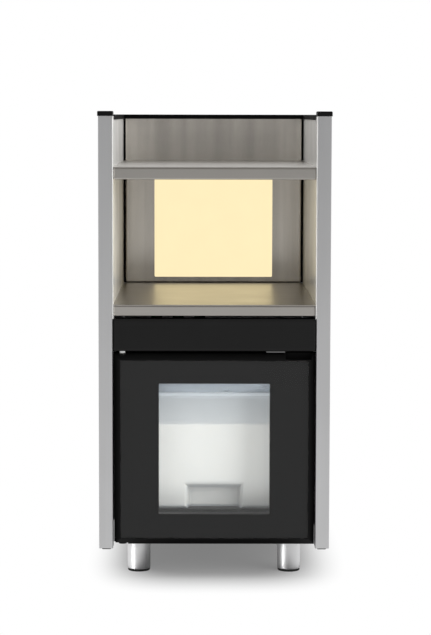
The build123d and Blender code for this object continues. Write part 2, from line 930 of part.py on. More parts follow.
def hinge_arm_plate(z_low, y_end):
    """Flat steel arm with a round end about the hinge axis and a hole for the pin."""
    plan = area(hinge_x - hinge_arm, hinge_x + hinge_arm, hinge_y, y_end)
    plan += Pos(hinge_x, hinge_y) * Circle(hinge_arm)
    plan -= Pos(hinge_x, hinge_y) * Circle(pin_radius + pin_play)
    return extrude(Plane.XY.offset(z_low) * plan, hinge_plate)


def catch_plate():
    """Steel strike under the crossbar, in the gap above the door."""
    right = pull_left - catch_gap
    low = (right - catch_width, door_front + catch_setback, crossbar_bottom - catch_thickness)
    return span(low, (right, bezel_front - fit, crossbar_bottom))


# Cooler


def front_bezel():
    """Black ring round the compartment that the door seals on."""
    ring = area(-casing_half, casing_half, casing_bottom, crossbar_bottom - fit)
    ring -= area(-compartment_half, compartment_half, floor, ceiling, liner_corner)
    return upright(ring, bezel_front, casing_front)


def duct_hole():
    """The way of the milk line through the right wall."""
    start = (compartment_half - duct_wall, duct_y, duct_z)
    return rod(start, (half_width + duct_flange, duct_y, duct_z), duct_outer + fit)


def block_hole():
    """The way of the cold block through liner, insulation and casing."""
    half = cold_block / 2 + fit
    return upright(area(-half, half, middle - half, middle + half), compartment_back, casing_back)


def cooler_casing():
    """Steel box round the insulation, open to the front."""
    low = (-casing_half, casing_front, casing_bottom)
    casing = pan(low, (casing_half, casing_back, casing_top), sheet, bend, (0, -1, 0))
    return casing - block_hole() - duct_hole()


def compartment_liner():
    """Moulded compartment with a front flange that covers the insulation."""
    low = (-liner_half, casing_front, floor - liner_wall)
    high = (liner_half, compartment_back + liner_wall, ceiling + liner_wall)
    liner = pan(low, high, liner_wall, liner_corner, (0, -1, 0))
    edge = sheet + bend + fit
    flange = area(edge - casing_half, casing_half - edge, casing_bottom + edge, casing_top - edge)
    flange -= area(-compartment_half, compartment_half, floor, ceiling, liner_corner)
    liner += upright(flange, casing_front, casing_front + liner_wall)
    return liner - block_hole() - duct_hole()


def insulation():
    """Foam between the liner and the casing."""
    gap = sheet + fit
    low = (gap - casing_half, casing_front + liner_wall, casing_bottom + gap)
    foam = softened(low, (casing_half - gap, casing_back - gap, casing_top - gap), bend, (0, -1, 0))
    room = liner_wall + fit
    cavity_low = (-compartment_half - room, casing_front, floor - room)
    cavity_high = (compartment_half + room, compartment_back + room, ceiling + room)
    foam -= softened(cavity_low, cavity_high, liner_corner + room, (0, -1, 0))
    return foam - block_hole() - duct_hole()


def cold_plate_with_block():
    """Ribbed plate on the back of the compartment, with the block that reaches the module."""
    half = compartment_half - cold_plate_side
    low = floor + cold_plate_end
    high = ceiling - cold_plate_end
    face = compartment_back - cold_plate
    plate = upright(area(-half, half, low, high, liner_corner / 2), face, compartment_back)
    for x in spread(rib_count, liner_corner - half, half - liner_corner):
        plate += span((x - rib_width / 2, face - rib_height, low), (x + rib_width / 2, face, high))
    side = cold_block / 2
    block = area(-side, side, middle - side, middle + side)
    return plate + upright(block, compartment_back, casing_back - module_height)


def cooling_module():
    """Thermoelectric module between the cold block and the heat sink."""
    side = module_side / 2
    square = area(-side, side, middle - side, middle + side)
    return upright(square, casing_back - module_height, casing_back)


def heat_sink():
    """Extruded heat sink on the back of the casing."""
    half = sink_width / 2
    fin_root = casing_back + sink_base
    profile = area(-half, half, casing_back, fin_root)
    for x in spread(fin_count, fin_width / 2 - half, half - fin_width / 2):
        profile += area(x - fin_width / 2, x + fin_width / 2, fin_root, sink_back)
    return extrude(Plane.XY.offset(middle - sink_length / 2) * profile, sink_length)


# Fan


def fan_housing():
    """Square housing with a round bore, struts and a bearing for the rotor."""
    half = fan_size / 2
    square = area(-half, half, middle - half, middle + half, fan_corner)
    square -= Pos(0, middle) * Circle(fan_bore)
    hole = half - fan_screw_inset
    for x in (-hole, hole):
        for z in (-hole, hole):
            square -= Pos(x, middle + z) * Circle(fan_screw)
    housing = upright(square, sink_back, fan_back)
    struts = Circle(hub_radius)
    for angle in (45, 135):
        struts += Rot(0, 0, angle) * Rectangle(2 * fan_bore + fan_rim, strut_width)
    disc = Pos(0, middle) * struts
    housing += upright(disc, fan_back - strut_depth, fan_back)
    bearing = rod((0, bearing_front(), middle), (0, fan_back, middle), shaft_radius + bearing_wall)
    housing += bearing
    return housing - rod((0, sink_back, middle), (0, fan_back, middle), shaft_radius + pin_play)


def bearing_front():
    """The front end of the fan's bearing, clear of the rotor's hub."""
    return sink_back + 2 * hub_gap + hub_wall


def fan_blade():
    """One twisted blade, from inside the hub to just short of the bore."""
    axis_y = (sink_back + fan_back - strut_depth) / 2
    sections = []
    for radius, chord, pitch in (
        (hub_radius - hub_wall / 2, root_chord, root_pitch),
        (fan_bore - blade_gap, tip_chord, tip_pitch),
    ):
        plane = Plane((radius, axis_y, middle), x_dir=(0, 0, 1), z_dir=(1, 0, 0))
        sections.append(plane * Rot(0, 0, pitch) * Rectangle(chord, blade_thickness))
    return loft(sections)


def fan_rotor():
    """Hub, blades and shaft, moulded in one."""
    hub_front = sink_back + hub_gap
    hub_back = fan_back - strut_depth - hub_gap
    centre = (0, hub_front, middle)
    rotor = rod(centre, (0, hub_back, middle), hub_radius)
    rotor -= rod((0, hub_front + hub_wall, middle), (0, hub_back, middle), hub_radius - hub_wall)
    blade = fan_blade()
    axis = Axis((0, 0, middle), (0, 1, 0))
    for index in range(blade_count):
        rotor += blade.rotate(axis, index * 360 / blade_count)
    rotor -= rod((0, hub_front + hub_wall, middle), (0, hub_back, middle), hub_radius - hub_wall)
    around = rod((0, sink_back, middle), (0, fan_back, middle), fan_size)
    rotor -= around - rod((0, sink_back, middle), (0, fan_back, middle), fan_bore - blade_gap)
    return rotor + rod(centre, (0, fan_back - hub_gap, middle), shaft_radius)


# Milk container


def tapered_box(inset, z_low, z_high):
    """A box with rounded corners that widens from the compartment floor upwards."""
    sections = []
    for z in (z_low, z_high):
        shrink = inset + container_draft * (rim_top - z) / (rim_top - floor)
        half = box_half - shrink
        plan = area(-half, half, box_front + shrink, box_back - shrink, container_corner - inset)
        sections.append(Plane.XY.offset(z) * plan)
    return loft(sections)


def grip_recess(grow):
    """The hand grip low in the front of the container."""
    half = grip_width / 2 + grow
    low = (-half, box_front - grip_depth, floor - grip_height)
    high = (half, box_front + grip_depth + grow, floor + grip_height + grow)
    block = span(low, high)
    deep = block.edges().group_by(Axis.Y)[-1]
    return fillet(deep, grip_round + grow) + grip_flare(grow)


def grip_flare(grow):
    """The mouth of the grip, which narrows to the grip's own width behind the drafted front."""
    length = container_draft + grip_mouth
    sections = []
    for y, extra in ((box_front + grow, length), (box_front + grow + length, 0.0)):
        half = grip_width / 2 + grow + extra
        outline = area(-half, half, floor - grip_height, floor + grip_height + grow + extra)
        sections.append(Plane((0, y, 0), x_dir=(1, 0, 0), z_dir=(0, -1, 0)) * outline)
    return loft(sections)


def milk_container():
    """Translucent box with a rim and a hand grip moulded into its front."""
    outer = tapered_box(0.0, floor, rim_top)
    outer = fillet(outer.edges().group_by(Axis.Z)[0], container_foot_round)
    inner_low = floor + container_wall
    inner = tapered_box(container_wall, inner_low, rim_top)
    inner = fillet(inner.edges().group_by(Axis.Z)[0], container_foot_round - container_wall)
    body = outer - grip_recess(0.0)
    rim = tapered_box(-container_rim, rim_top - container_rim, rim_top)
    rim -= tapered_box(0.0, rim_top - container_rim, rim_top)
    return body - (inner - grip_recess(container_wall)) + rim


def container_lid():
    """Lid with a skirt outside the rim, a rib inside it and a port for the milk line."""
    inside = -container_rim - fit
    skirt_low = rim_top - lid_skirt
    cover = tapered_box(-lid_overhang, skirt_low, rim_top + lid)
    cover = fillet(cover.edges().group_by(Axis.Z)[-1], lid_edge)
    cover -= tapered_box(inside, skirt_low, rim_top)
    rib_low = rim_top - lid_rib
    rib = tapered_box(container_wall + fit, rib_low, rim_top)
    rib -= tapered_box(container_wall + fit + lid_wall, rib_low, rim_top)
    cover += rib
    port_top = rim_top + lid + port_height
    cover += rod((port_x, duct_y, rim_top), (port_x, duct_y, port_top), port_radius + port_wall)
    return cover - rod((port_x, duct_y, rim_top), (port_x, duct_y, port_top), port_radius)


# Light and milk line in the compartment


def lamp_front():
    """The front face of the lamp under the compartment's ceiling."""
    return casing_front + lamp_setback + liner_wall


def interior_lamp():
    """Strip lamp under the ceiling."""
    half = compartment_half - lamp_inset
    low = (-half, lamp_front(), ceiling - lamp_height)
    return softened(low, (half, lamp_front() + lamp_width, ceiling), lamp_round, (0, 0, 1))


def lamp_lenses():
    """Pairs of round lenses on the underside of the lamp."""
    y = lamp_front() + lamp_width / 2
    top = ceiling - lamp_height
    reach = pair_pitch * (lamp_pairs - 1) / 2
    lenses = []
    for pair in spread(lamp_pairs, lamp_offset - reach, lamp_offset + reach):
        for x in (pair - lens_pitch / 2, pair + lens_pitch / 2):
            lens = rod((x, y, top - lamp_lens_height), (x, y, top), lamp_lens)
            lenses.append(fillet(lens.edges().group_by(Axis.Z)[0], lamp_lens_height / 2))
    return lenses


def milk_line_duct():
    """Flanged tube from the outer panel to the compartment."""
    inner = (compartment_half - duct_reach, duct_y, duct_z)
    outer = (half_width + cap_overhang, duct_y, duct_z)
    tube = rod(inner, outer, duct_outer)
    tube += rod((half_width, duct_y, duct_z), outer, duct_outer + duct_flange)
    return tube - rod(inner, outer, duct_radius)


# Power


def power_supply():
    """Closed metal case with vent slots and a terminal block, on the base pan."""
    left = pan_sheet + pan_bend + supply_gap - post_inside
    far = rear_inside - pan_sheet - pan_bend - supply_gap
    near = far - supply_length
    top = casing_bottom + supply_height
    low = (left, near, casing_bottom)
    case = softened(low, (left + supply_width, far, top), supply_round, (0, 0, -1))
    slot_half = supply_width / 2 - supply_gap
    centre = left + supply_width / 2
    for y in spread(supply_slots, near + supply_gap, far - supply_gap):
        slot_low = (centre - slot_half, y - supply_slot_width / 2, top - supply_slot_depth)
        case -= span(slot_low, (centre + slot_half, y + supply_slot_width / 2, top))
    block_low = (left + supply_round, near - terminal_length, casing_bottom)
    block_high = (left + supply_width - supply_round, near, casing_bottom + terminal_height)
    case += span(block_low, block_high)
    way = (block_high[0] - block_low[0]) / terminal_ways
    for index in range(terminal_ways):
        x = block_low[0] + way * (index + 0.5)
        well_low = (x, near - terminal_length / 2, casing_bottom + terminal_height / 2)
        case -= rod(well_low, (x, near - terminal_length / 2, block_high[2]), way / 4)
    return case


def control_board():
    """Board on spacers on top of the casing, with its larger components."""
    far = casing_back - control_setback
    near = far - control_length
    right = -control_spacer_radius
    left = right - control_width
    low = casing_top + control_spacer
    top = low + board
    solids = [span((left, near, low), (right, far, top))]
    for x in (left + 2 * control_spacer_radius, right - 2 * control_spacer_radius):
        for y in (near + 2 * control_spacer_radius, far - 2 * control_spacer_radius):
            solids.append(rod((x, y, casing_top), (x, y, low), control_spacer_radius))
    relay_near = far - component_margin - relay_size
    for x in spread(relay_count, left + component_margin, right - component_margin - relay_size):
        relay_high = (x + relay_size, relay_near + relay_size, top + relay_size)
        solids.append(softened((x, relay_near, top), relay_high, relay_round, (0, 0, -1)))
    last = right - component_margin - connector_width
    for x in spread(connector_count, left + component_margin, last):
        near_side = near + component_margin
        high = (x + connector_width, near_side + connector_depth, top + connector_height)
        solids.append(span((x, near_side, top), high))
    return solids


def inlet_socket(inset):
    """The outline of the inlet's socket: a rectangle with two cut corners."""
    outline = Rectangle(inlet_width - 2 * inset, inlet_height - 2 * inset)
    return chamfer(outline.vertices().group_by(Axis.Y)[-1], inlet_corner)


def inlet_pin_places():
    """Two line pins in a row and the earth pin above them."""
    low = power_z - inlet_earth_rise / 2
    return [
        (inlet_x - inlet_pin_pitch, low),
        (inlet_x + inlet_pin_pitch, low),
        (inlet_x, low + inlet_earth_rise),
    ]


def inlet_pin(x, z, grow=0.0):
    """One flat pin of the inlet, from its tab to just inside the socket's mouth."""
    blade = Pos(x, z) * Rectangle(inlet_pin_width + 2 * grow, inlet_pin_height + 2 * grow)
    far = rear_face + inlet_flange - inlet_pin_recess
    return upright(blade, rear_face - inlet_body - inlet_tab, far)


def power_inlet():
    """Moulded inlet in the rear cover, with a flange outside it."""
    centre = Pos(inlet_x, power_z)
    flange_size = (inlet_width + 2 * inlet_lip, inlet_height + 2 * inlet_lip)
    inlet = upright(centre * RectangleRounded(*flange_size, inlet_lip), rear_face, rear_face + inlet_flange)
    body = centre * Rectangle(inlet_width, inlet_height)
    inlet += upright(body, rear_face - inlet_body, rear_face)
    socket = centre * inlet_socket(inlet_wall)
    inlet -= upright(socket, rear_face - inlet_body + inlet_wall, rear_face + inlet_flange)
    for x, z in inlet_pin_places():
        inlet -= inlet_pin(x, z, pin_play)
    return inlet


def switch_housing():
    """Frame and body of the power switch, with holes for the rocker's trunnions."""
    centre = Pos(switch_x, power_z)
    lip_size = (switch_width + 2 * switch_lip, switch_height + 2 * switch_lip)
    housing = upright(centre * RectangleRounded(*lip_size, switch_lip), rear_face, rear_face + switch_bezel)
    body = centre * Rectangle(switch_width, switch_height)
    housing += upright(body, rear_face - switch_body, rear_face)
    well = centre * Rectangle(switch_width - 2 * switch_wall, switch_height - 2 * switch_wall)
    housing -= upright(well, rear_face - switch_body + switch_wall, rear_face + switch_bezel)
    half = switch_width / 2
    left = (switch_x - half, rear_face, power_z)
    return housing - rod(left, (switch_x + half, rear_face, power_z), trunnion_radius + pin_play)


def switch_rocker():
    """Dished rocker on trunnions, tilted to its resting side."""
    half = switch_height / 2 - switch_wall - rocker_gap
    crest = rocker_stand + rocker_dish
    outline = Polyline(
        (crest, half),
        (rocker_stand, 0),
        (crest, -half),
        (0, -half),
        (-rocker_root, -half / 3),
        (-rocker_root, half / 3),
        (0, half),
        close=True,
    )
    side = switch_width / 2 - switch_wall - fit
    rocker = crosswise(make_face(outline), -side, side)
    pivot = switch_width / 2 - fit
    rocker += rod((-pivot, 0, 0), (pivot, 0, 0), trunnion_radius)
    return Pos(switch_x, rear_face, power_z) * Rot(rocker_tilt, 0, 0) * rocker


# All the pieces, by name


def all_pieces():
    """Each piece, or each list of like solids, under its name."""
    front_post = right_post(post_top)
    rear_post = mirror(right_post(wall_top), Plane.XZ)
    plug = right_plug()
    outer_panel = right_outer_panel()
    inner_panel = right_inner_panel()
    return {
        "left_front_post": mirror(front_post, Plane.YZ),
        "right_front_post": front_post,
        "rear_posts": both_sides(rear_post),
        "post_caps": both_sides(right_cap()),
        "post_plugs": both_sides(plug) + both_sides(mirror(plug, Plane.XZ)),
        "left_outer_panel": mirror(outer_panel, Plane.YZ),
        "right_outer_panel": outer_panel - duct_hole(),
        "left_inner_panel": mirror(inner_panel, Plane.YZ),
        "right_inner_panel": inner_panel,
        "wall_trims": both_sides(right_wall_trim()),
        "rear_trim": rear_trim(),
        "back_panel": back_panel(),
        "light_diffuser": light_diffuser(),
        "light_tray": light_tray(),
        "light_board": light_board(),
        "rear_rails": [
            rear_rail(lower_lip_bottom, lower_screw_z),
            rear_rail(wall_top - rail_height, upper_screw_z),
        ],
        "rear_cover": rear_cover(),
        "rear_cover_screws": rear_screws(),
        "base_pan": base_pan(),
        "feet": [foot(x, y) for x, y in foot_places],
        "foot_pads": [foot_pad(x, y) for x, y in foot_places],
        "foot_studs": [foot_stud(x, y) for x, y in foot_places],
        "lower_shelf_plate": shelf_plate(lower_plate_bottom),
        "lower_shelf_frame": shelf_frame(lower_lip_bottom, lower_lip),
        "upper_shelf_plate": shelf_plate(upper_plate_bottom),
        "upper_shelf_frame": shelf_frame(upper_lip_bottom, upper_lip),
        "upper_shelf_cover": shelf_cover(),
        "heater_mats": [heater_mat(lower_plate_bottom), heater_mat(upper_plate_bottom)],
        "shelf_rivets": shelf_rivets(),
        "fascia": fascia(),
        "front_crossbar": front_crossbar(),
        "front_bezel": front_bezel(),
        "cooler_casing": cooler_casing(),
        "insulation": insulation(),
        "compartment_liner": compartment_liner(),
        "interior_lamp": [interior_lamp()] + lamp_lenses(),
        "cold_plate": cold_plate_with_block(),
        "cooling_module": cooling_module(),
        "heat_sink": heat_sink(),
        "fan_housing": fan_housing(),
        "fan_rotor": fan_rotor(),
        "power_supply": power_supply(),
        "control_board": control_board(),
        "power_inlet": power_inlet(),
        "inlet_pins": [inlet_pin(x, z) for x, z in inlet_pin_places()],
        "switch_housing": switch_housing(),
        "switch_rocker": switch_rocker(),
        "milk_line_duct": milk_line_duct(),
        "milk_container": milk_container(),
        "container_lid": container_lid(),
        "door_frame": door_frame(),
        "door_glass": door_glass(),
        "door_liner": door_liner(),
        "door_inner_pane": door_inner_pane(),
        "door_gasket": door_gasket(),
        "hinge_bushes": [hinge_bush(z) for z in bush_ends()],
        "hinge_pins": hinge_pins(),
        "upper_hinge_plate": hinge_arm_plate(hinge_plate_low, bezel_front - fit),
        "lower_hinge_plate": hinge_arm_plate(foot_height - hinge_plate, foot_front - fit),
        "catch_plate": catch_plate(),
    }


os.makedirs("parts", exist_ok=True)
for name, piece in all_pieces().items():
    solids = piece if isinstance(piece, list) else [piece]
    export_step(Compound(children=solids), f"parts/{name}.step")
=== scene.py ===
import math

import bmesh
import bpy
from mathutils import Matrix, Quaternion, Vector


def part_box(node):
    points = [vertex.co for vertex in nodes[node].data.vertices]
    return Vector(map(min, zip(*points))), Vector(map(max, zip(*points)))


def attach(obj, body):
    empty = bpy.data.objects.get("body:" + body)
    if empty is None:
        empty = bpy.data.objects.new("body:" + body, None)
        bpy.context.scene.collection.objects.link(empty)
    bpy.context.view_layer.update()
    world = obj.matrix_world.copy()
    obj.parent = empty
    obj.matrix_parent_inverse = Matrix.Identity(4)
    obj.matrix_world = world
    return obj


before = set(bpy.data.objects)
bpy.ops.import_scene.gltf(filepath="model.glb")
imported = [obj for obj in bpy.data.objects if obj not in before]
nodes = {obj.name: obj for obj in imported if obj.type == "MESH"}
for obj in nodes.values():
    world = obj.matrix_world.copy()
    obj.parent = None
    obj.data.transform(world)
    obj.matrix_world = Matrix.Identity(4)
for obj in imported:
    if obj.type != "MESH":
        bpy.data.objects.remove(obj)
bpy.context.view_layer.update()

# Camera, in metres and degrees, from the photograph's perspective
LONG_SIDE_PIXELS = 635
FOCAL_PIXELS = 2175.7
SENSOR_MM = 36.0
CAMERA_PLACE = Vector((-0.0157, -3.225, 0.6543))
CAMERA_YAW = -0.325
CAMERA_PITCH = 5.441
CAMERA_ROLL = 0.118
LEVEL_TILT = 90.0

# Milk container, in metres
CONTAINER_WALL = 0.002
CONTAINER_RIM = 0.004
CONTAINER_DRAFT = 0.003
CONTAINER_CORNER = 0.014
GRIP_WIDTH = 0.073
GRIP_HEIGHT = 0.0305
GRIP_DEPTH = 0.022
GRIP_MOUTH = 0.0045

# Milk, in metres: its level above the container's foot, its gap to the walls, and how its edges turn in
MILK_HEIGHT = 0.121
MILK_GAP = 0.0003
MILK_ROUND = 0.003
MENISCUS = 0.0012

# Compartment, in metres: height of the lamp's lenses, and of the painted shade on the floor
LENS_HEIGHT = 0.0024
FLOOR_SHADE_HEIGHT = 0.0003

SIDEWAYS = (1.0, 0.0, 0.0)
UP = (0.0, 0.0, 1.0)
WHITE = (1.0, 1.0, 1.0)

container_low, container_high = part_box("milk_container")
milk_wall = CONTAINER_WALL + MILK_GAP
milk_level = container_low.z + MILK_HEIGHT
# top of the painted shade on the compartment's floor
liner_shade_top = container_low.z + FLOOR_SHADE_HEIGHT
lens_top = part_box("interior_lamp")[0].z + LENS_HEIGHT


# Objects and the camera


def add_object(name, data):
    """A new object in the scene."""
    added = bpy.data.objects.new(name, data)
    bpy.context.scene.collection.objects.link(added)
    return added


def mesh_data(name, mesh):
    """Mesh data from a bmesh, which is freed."""
    data = bpy.data.meshes.new(name)
    mesh.to_mesh(data)
    mesh.free()
    return data


def turn(axis, degrees):
    """A turn about an axis."""
    return Quaternion(axis, math.radians(degrees))


def make_camera():
    """The camera at the photograph's place, with a slight turn and roll."""
    data = bpy.data.cameras.new("camera")
    data.sensor_width = SENSOR_MM
    data.lens = SENSOR_MM * FOCAL_PIXELS / LONG_SIDE_PIXELS
    camera = add_object("camera", data)
    tilt = turn(SIDEWAYS, LEVEL_TILT - CAMERA_PITCH)
    camera.rotation_mode = "QUATERNION"
    camera.rotation_quaternion = turn(UP, CAMERA_YAW) @ tilt @ turn(UP, CAMERA_ROLL)
    camera.location = CAMERA_PLACE
    bpy.context.scene.camera = camera


# Colours


def rgba(colour):
    """A colour at full opacity."""
    return (*colour, 1.0)


def grey(level):
    """A neutral colour."""
    return (level, level, level)


def scaled(colour, factor):
    """A colour made darker or lighter."""
    return tuple(min(1.0, channel * factor) for channel in colour)


# Shader nodes


def feed(tree, value, socket):
    """Links a value that comes from another node, or sets a plain one."""
    if isinstance(value, bpy.types.NodeSocket):
        tree.links.new(value, socket)
    else:
        socket.default_value = value


def object_place(tree):
    """The object's own coordinates, in metres."""
    return tree.nodes.new("ShaderNodeTexCoord").outputs["Object"]


def stretched_place(tree, scale, shift=(0.0, 0.0, 0.0)):
    """The object's own coordinates, stretched along X, Y and Z and then shifted."""
    stretch = tree.nodes.new("ShaderNodeMapping")
    stretch.inputs["Scale"].default_value = scale
    stretch.inputs["Location"].default_value = shift
    tree.links.new(object_place(tree), stretch.inputs["Vector"])
    return stretch.outputs["Vector"]


def map_range(tree, value, source, target, smooth=False):
    """A value's source range, spread over a target range."""
    mapped = tree.nodes.new("ShaderNodeMapRange")
    if smooth:
        mapped.interpolation_type = "SMOOTHSTEP"
    for side, limits in (("From", source), ("To", target)):
        for end, limit in zip(("Min", "Max"), limits):
            mapped.inputs[f"{side} {end}"].default_value = limit
    tree.links.new(value, mapped.inputs["Value"])
    return mapped.outputs["Result"]


def mixed(tree, factor, first, second, kind="FLOAT"):
    """Two numbers or colours, mixed by a factor."""
    mix = tree.nodes.new("ShaderNodeMix")
    mix.data_type = kind
    feed(tree, factor, mix.inputs["Factor"])
    feed(tree, first, mix.inputs["A"])
    feed(tree, second, mix.inputs["B"])
    return mix.outputs["Result"]


def arithmetic(tree, operation, first, second):
    """The result of an operation on two numbers."""
    made = tree.nodes.new("ShaderNodeMath")
    made.operation = operation
    feed(tree, first, made.inputs[0])
    feed(tree, second, made.inputs[1])
    return made.outputs["Value"]


def ray_kinds(tree):
    """What kind of ray meets the surface, by name."""
    return tree.nodes.new("ShaderNodeLightPath").outputs


# Material helpers

# A noise pattern stays mostly in this range
NOISE_RANGE = (0.3, 0.7)
NOISE_DETAIL = 3.0


def material(name, colour, roughness, **sockets):
    """A Principled material, with further inputs by name, an underscore for each space."""
    made = bpy.data.materials.new(name)
    made.use_nodes = True
    inputs = shader_of(made).inputs
    inputs["Base Color"].default_value = rgba(colour)
    inputs["Roughness"].default_value = roughness
    for socket, value in sockets.items():
        inputs[socket.replace("_", " ")].default_value = value
    return made


def shader_of(made):
    """The material's Principled shader."""
    return made.node_tree.nodes["Principled BSDF"]


def noise(made, scale, detail=NOISE_DETAIL):
    """Noise with a number of waves per metre along X, Y and Z."""
    tree = made.node_tree
    pattern = tree.nodes.new("ShaderNodeTexNoise")
    pattern.inputs["Scale"].default_value = 1.0
    pattern.inputs["Detail"].default_value = detail
    tree.links.new(stretched_place(tree, scale), pattern.inputs["Vector"])
    return pattern.outputs["Fac"]


def tint(made, pattern, dark, light, socket="Base Color"):
    """Runs one of the shader's colours between two shades by a pattern."""
    tree = made.node_tree
    share = map_range(tree, pattern, NOISE_RANGE, (0.0, 1.0))
    shade = mixed(tree, share, rgba(dark), rgba(light), "RGBA")
    tree.links.new(shade, shader_of(made).inputs[socket])


def vary_roughness(made, pattern, low, high):
    """Lets the roughness follow a pattern."""
    varied = map_range(made.node_tree, pattern, NOISE_RANGE, (low, high))
    made.node_tree.links.new(varied, shader_of(made).inputs["Roughness"])


def bump(made, pattern, height):
    """Raises the surface by a pattern, to a height in metres."""
    tree = made.node_tree
    raised = tree.nodes.new("ShaderNodeBump")
    raised.inputs["Distance"].default_value = height
    tree.links.new(pattern, raised.inputs["Height"])
    tree.links.new(raised.outputs["Normal"], shader_of(made).inputs["Normal"])


def height_mask(made, test, height):
    """One where the surface passes a test against a height, and zero elsewhere."""
    tree = made.node_tree
    split = tree.nodes.new("ShaderNodeSeparateXYZ")
    tree.links.new(object_place(tree), split.inputs["Vector"])
    return arithmetic(tree, test, split.outputs["Z"], height)


def mix_surfaces(made, factor, other):
    """Shows another shader in place of the material's own, by a factor."""
    tree = made.node_tree
    mix = tree.nodes.new("ShaderNodeMixShader")
    tree.links.new(factor, mix.inputs["Fac"])
    tree.links.new(shader_of(made).outputs["BSDF"], mix.inputs[1])
    tree.links.new(other, mix.inputs[2])
    tree.links.new(mix.outputs["Shader"], tree.nodes["Material Output"].inputs["Surface"])


# Metals: brushed streaks along the grain and smears of gloss, in waves per metre
STREAKS = {
    "x": (1.5, 45.0, 45.0),
    "y": (45.0, 1.5, 45.0),
    "z": (45.0, 45.0, 1.5),
    "round": (3.0, 3.0, 60.0),
}
SMEARS = (14.0, 14.0, 9.0)
SMEAR_SHARE = 0.12


def brushed_metal(name, colour, roughness, grain, contrast=0.06, metallic=1.0):
    """Metal with streaks along its grain and a faintly smeared gloss."""
    made = material(name, colour, roughness, Metallic=metallic)
    streaks = noise(made, STREAKS[grain])
    smears = noise(made, SMEARS)
    tint(made, streaks, scaled(colour, 1 - contrast), scaled(colour, 1 + contrast))
    vary_roughness(made, smears, roughness * (1 - SMEAR_SHARE), roughness * (1 + SMEAR_SHARE))
    return made


# Zinc coat: crystals per metre, and the range of their shades and of their roughness
CRYSTALS = 140.0
CRYSTAL_SHADES = (0.8, 1.1)
CRYSTAL_ROUGHNESS = (0.35, 0.55)


def galvanised(name, colour):
    """Zinc-coated sheet with a pattern of crystals."""
    made = material(name, colour, sum(CRYSTAL_ROUGHNESS) / 2, Metallic=1.0)
    tree = made.node_tree
    crystals = tree.nodes.new("ShaderNodeTexVoronoi")
    crystals.inputs["Scale"].default_value = CRYSTALS
    split = tree.nodes.new("ShaderNodeSeparateColor")
    tree.links.new(object_place(tree), crystals.inputs["Vector"])
    tree.links.new(crystals.outputs["Color"], split.inputs["Color"])
    dark, light = (scaled(colour, shade) for shade in CRYSTAL_SHADES)
    tint(made, split.outputs["Red"], dark, light)
    vary_roughness(made, split.outputs["Green"], *CRYSTAL_ROUGHNESS)
    return made


# Plastics and rubber: soft patches of colour and gloss, in waves per metre
SOFT_PATCHES = (30.0, 30.0, 30.0)
GLOSS_SHARE = 0.08


def moulded(name, colour, roughness, unevenness=0.07, **sockets):
    """Moulded plastic or rubber with faintly uneven colour and gloss."""
    made = material(name, colour, roughness, **sockets)
    patches = noise(made, SOFT_PATCHES)
    tint(made, patches, scaled(colour, 1 - unevenness), scaled(colour, 1 + unevenness))
    vary_roughness(made, patches, roughness * (1 - GLOSS_SHARE), roughness * (1 + GLOSS_SHARE))
    return made


def moulded_with_floor_shade(name, colour, floor_shade_colour, floor_shade_top, roughness, **sockets):
    """Moulded plastic with painted shade on its floor, darker up to a height."""
    made = moulded(name, colour, roughness, **sockets)
    tree = made.node_tree
    base = shader_of(made).inputs["Base Color"]
    above = height_mask(made, "GREATER_THAN", floor_shade_top)
    shade = mixed(tree, above, rgba(floor_shade_colour), base.links[0].from_socket, "RGBA")
    tree.links.new(shade, base)
    return made


def lamp_plastic(name, colour, roughness, light, strength):
    """Pale lamp strip whose lenses, below a height, shine."""
    made = moulded(name, colour, roughness, Emission_Color=rgba(light))
    tree = made.node_tree
    shining = arithmetic(tree, "MULTIPLY", height_mask(made, "LESS_THAN", lens_top), strength)
    tree.links.new(shining, shader_of(made).inputs["Emission Strength"])
    return made


# Foam: cells per metre, and their depth in metres
FOAM_CELLS = (1100.0, 1100.0, 1100.0)
FOAM_DETAIL = 2.0
FOAM_DEPTH = 0.0004


def foamed(name, colour, roughness):
    """Matt foam with a surface of open cells."""
    made = moulded(name, colour, roughness)
    bump(made, noise(made, FOAM_CELLS, FOAM_DETAIL), FOAM_DEPTH)
    return made


# Glass: refractive index, haze, and the share of light that it lets straight through
GLASS_IOR = 1.45
GLASS_HAZE = 0.02
PASSING_LIGHT = 0.98


def clear_glass(name, colour):
    """Clear glass with the faintest haze, which lets light pass to what is behind it."""
    made = material(name, colour, 0.0, Transmission_Weight=1.0, IOR=GLASS_IOR)
    vary_roughness(made, noise(made, SOFT_PATCHES), 0.0, GLASS_HAZE)
    tree = made.node_tree
    rays = ray_kinds(tree)
    clear = tree.nodes.new("ShaderNodeBsdfTransparent")
    clear.inputs["Color"].default_value = rgba(grey(PASSING_LIGHT))
    passing = arithmetic(tree, "MAXIMUM", rays["Is Shadow Ray"], rays["Is Diffuse Ray"])
    mix_surfaces(made, passing, clear.outputs["BSDF"])
    return made


# Opal sheet: shares of its colour where it isn't lit, and where it shines least
OPAL_UNLIT = 0.1
OPAL_DIMMEST = 0.985
OPAL_DETAIL = 1.0


def opal_light(name, colour, roughness, **sockets):
    """Opal sheet lit from behind, a little uneven."""
    made = material(name, scaled(colour, OPAL_UNLIT), roughness, **sockets)
    patches = noise(made, SOFT_PATCHES, OPAL_DETAIL)
    tint(made, patches, scaled(colour, OPAL_DIMMEST), colour, "Emission Color")
    return made


# Materials, and the nodes that take them


